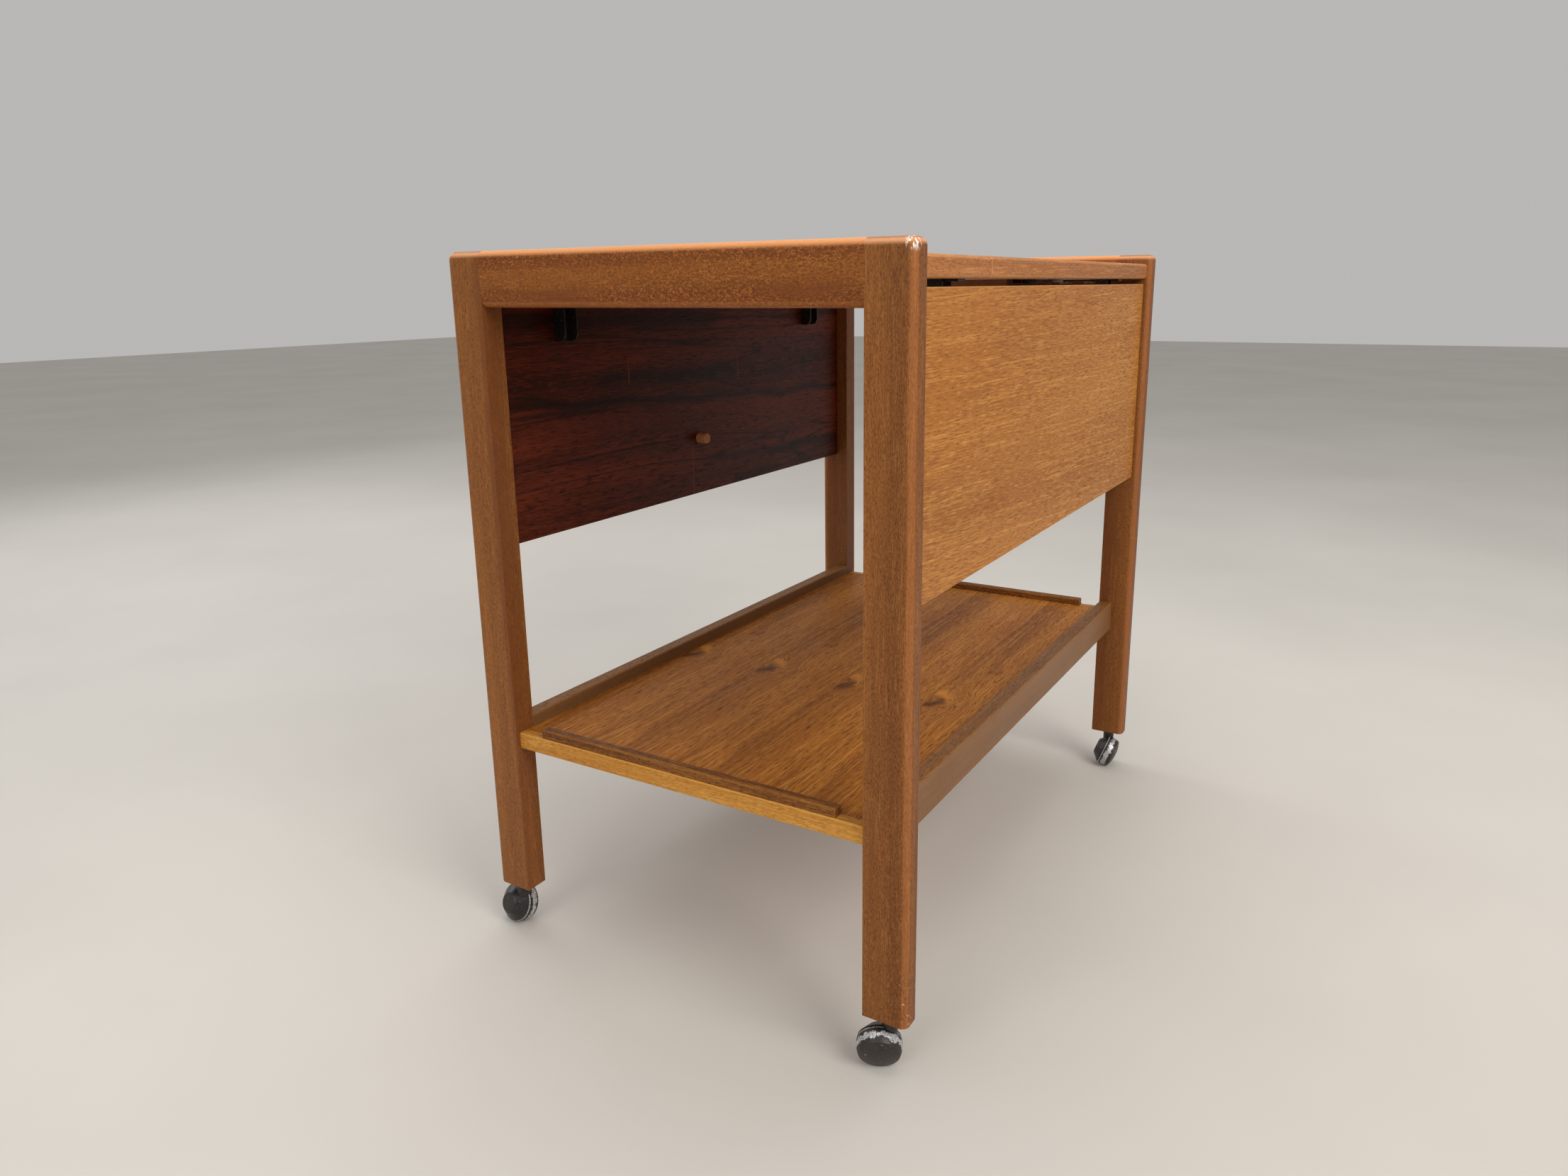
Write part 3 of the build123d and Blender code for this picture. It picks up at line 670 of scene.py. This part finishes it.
# Studio: the floor's half width and tones, and the light from all round.
FLOOR_HALF = 12.0
FLOOR_TONES = (colour(198, 194, 188), colour(206, 202, 196))
WORLD_TONE = (0.86, 0.85, 0.83, 1.0)
WORLD_STRENGTH = 0.56
# Lights: name, place, size in metres, watts and colour.
LIGHT_AIM = (0, 0, 0.4)
LIGHTS = (
    ("key", (-0.9, -2.6, 2.3), 1.8, 62.0, (1.0, 0.96, 0.90)),
    ("front", (-2.8, 0.2, 1.9), 1.6, 20.0, (1.0, 0.97, 0.93)),
    ("overhead", (0.3, 0.2, 3.0), 2.4, 34.0, (1.0, 0.98, 0.95)),
    ("left", (0.4, 3.0, 1.8), 1.6, 18.0, (0.96, 0.97, 1.0)),
)


def area_light(name, at, aim, size, power, tone):
    """Square soft light aimed at a point."""
    data = bpy.data.lights.new(name, "AREA")
    data.shape = "SQUARE"
    data.size = size
    data.energy = power
    data.color = tone
    light = bpy.data.objects.new(name, data)
    light.location = at
    light.rotation_euler = (Vector(aim) - Vector(at)).to_track_quat("-Z", "Y").to_euler()
    bpy.context.scene.collection.objects.link(light)


def studio():
    """Pale floor, pale surroundings and soft lights."""
    mesh = bpy.data.meshes.new("floor")
    corners = [(FLOOR_HALF * x, FLOOR_HALF * y, 0) for x, y in ((-1, -1), (1, -1), (1, 1), (-1, 1))]
    mesh.from_pydata(corners, [], [(0, 1, 2, 3)])
    floor = bpy.data.objects.new("floor", mesh)
    bpy.context.scene.collection.objects.link(floor)
    surface = Surface("studio_floor")
    cloud = surface.noise(surface.scaled(surface.place, (1.5, 1.5, 1.5)), detail=4.0)
    base = surface.ramp(cloud, [(0.3, FLOOR_TONES[0]), (0.7, FLOOR_TONES[1])])
    mesh.materials.append(surface.finish(base, 0.75))
    world = bpy.data.worlds.new("studio")
    world.use_nodes = True
    background = world.node_tree.nodes["Background"]
    background.inputs["Color"].default_value = WORLD_TONE
    background.inputs["Strength"].default_value = WORLD_STRENGTH
    bpy.context.scene.world = world
    for name, at, size, power, tone in LIGHTS:
        area_light(name, at, LIGHT_AIM, size, power, tone)


materials()
camera()
studio()
bpy.context.scene.view_settings.view_transform = "Standard"
